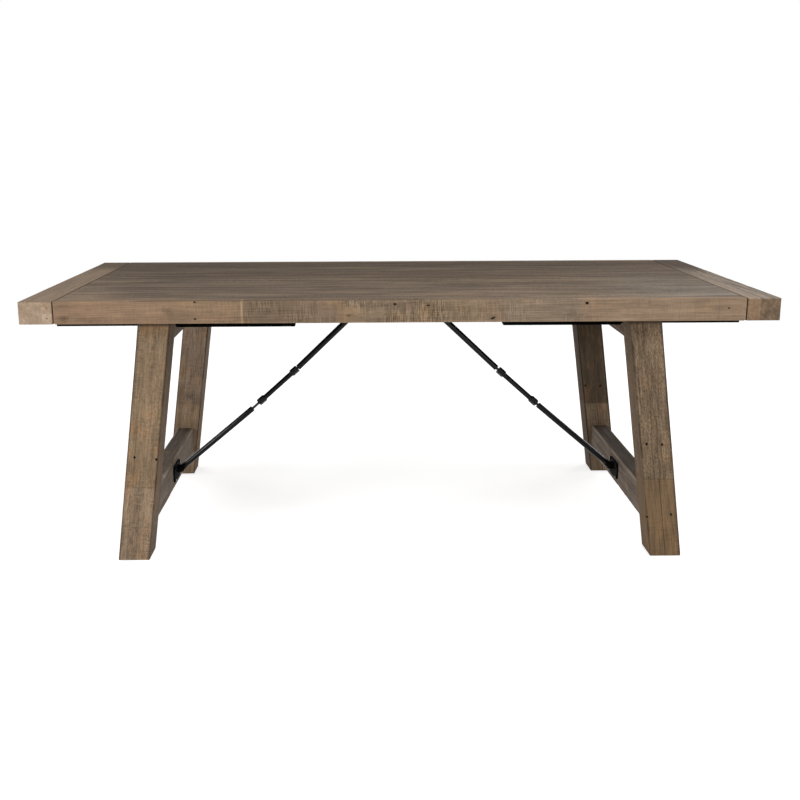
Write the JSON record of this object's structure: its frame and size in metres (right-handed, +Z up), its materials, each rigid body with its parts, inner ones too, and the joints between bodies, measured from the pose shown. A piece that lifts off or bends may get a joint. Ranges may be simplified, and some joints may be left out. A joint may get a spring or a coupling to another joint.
{
  "type": "extending dining table",
  "caption": "Plank-topped dining table on two leaning-leg trestles braced by turnbuckle tie rods; both end caps pull out on steel runners to take drop-in leaves.",
  "frame": {"origin": "on the floor, under the middle of the tabletop", "axes": "+X along the table's length to the right-hand end, -Y towards the viewer at the front, +Z up"},
  "size_m": [2.083, 1.016, 0.762],
  "materials": {
    "top_planks": "weathered pine, matt oil",
    "edge_timber": "weathered pine, band-sawn faces, matt oil",
    "trestle_timber": "weathered pine, matt oil",
    "frame_timber": "planed pine, unfinished",
    "tongue_timber": "planed beech",
    "slide_steel": "black powder coat, satin",
    "tie_steel": "black semi-gloss paint",
    "zinc_screws": "dark zinc plate",
    "nylon": "moulded nylon"
  },
  "bodies": {
    "table": {"batten_centre": "frame_timber", "batten_left": "frame_timber", "batten_right": "frame_timber", "bearer_front": "frame_timber", "bearer_rear": "frame_timber", "bracket_screws": "zinc_screws", "centre_bracket": "tie_steel", "edge_beam_front": "edge_timber", "edge_beam_rear": "edge_timber", "end_rail_left": "frame_timber", "end_rail_right": "frame_timber", "foot_glides": "nylon", "glide_blocks": "nylon", "glide_bolts": "zinc_screws", "glide_brackets": "slide_steel", "guide_sleeve_left_front": "slide_steel", "guide_sleeve_left_rear": "slide_steel", "guide_sleeve_right_front": "slide_steel", "guide_sleeve_right_rear": "slide_steel", "leg_left_front": "trestle_timber", "leg_left_rear": "trestle_timber", "leg_right_front": "trestle_timber", "leg_right_rear": "trestle_timber", "lower_bracket_left": "tie_steel", "lower_bracket_right": "tie_steel", "lower_rod_left": "tie_steel", "lower_rod_right": "tie_steel", "plank_1": "top_planks", "plank_2": "top_planks", "plank_3": "top_planks", "plank_4": "top_planks", "plank_5": "top_planks", "plank_6": "top_planks", "rod_pins": "tie_steel", "slide_screws": "zinc_screws", "stretcher_left": "trestle_timber", "stretcher_right": "trestle_timber", "top_cleat_left": "frame_timber", "top_cleat_right": "frame_timber", "top_rail_left": "trestle_timber", "top_rail_right": "trestle_timber", "trestle_bolts": "zinc_screws", "upper_rod_left": "tie_steel", "upper_rod_right": "tie_steel"},
    "left_end": {"end_cap_left": "edge_timber", "cap_tongues_left": "tongue_timber", "runner_left_front": "slide_steel", "runner_left_rear": "slide_steel", "runner_stops_left": "slide_steel", "runner_screws_left": "zinc_screws"},
    "right_end": {"end_cap_right": "edge_timber", "cap_tongues_right": "tongue_timber", "runner_right_front": "slide_steel", "runner_right_rear": "slide_steel", "runner_stops_right": "slide_steel", "runner_screws_right": "zinc_screws"},
    "turnbuckle_left": {"turnbuckle_left": "tie_steel"},
    "turnbuckle_right": {"turnbuckle_right": "tie_steel"}
  },
  "joints": [
    {"name": "left_end_slide", "type": "slide", "parent": "table", "child": "left_end", "axis": [-1, 0, 0], "range_m": [0, 0.457]},
    {"name": "right_end_slide", "type": "slide", "parent": "table", "child": "right_end", "axis": [1, 0, 0], "range_m": [0, 0.457]},
    {"name": "turnbuckle_left_turn", "type": "hinge", "parent": "table", "child": "turnbuckle_left", "pos_m": [-0.38231, 0, 0.41425], "axis": [-0.7454, 0, -0.6666], "range_deg": [-180, 180]},
    {"name": "turnbuckle_right_turn", "type": "hinge", "parent": "table", "child": "turnbuckle_right", "pos_m": [0.39553, 0, 0.40578], "axis": [0.7454, 0, -0.6666], "range_deg": [-180, 180]}
  ]
}
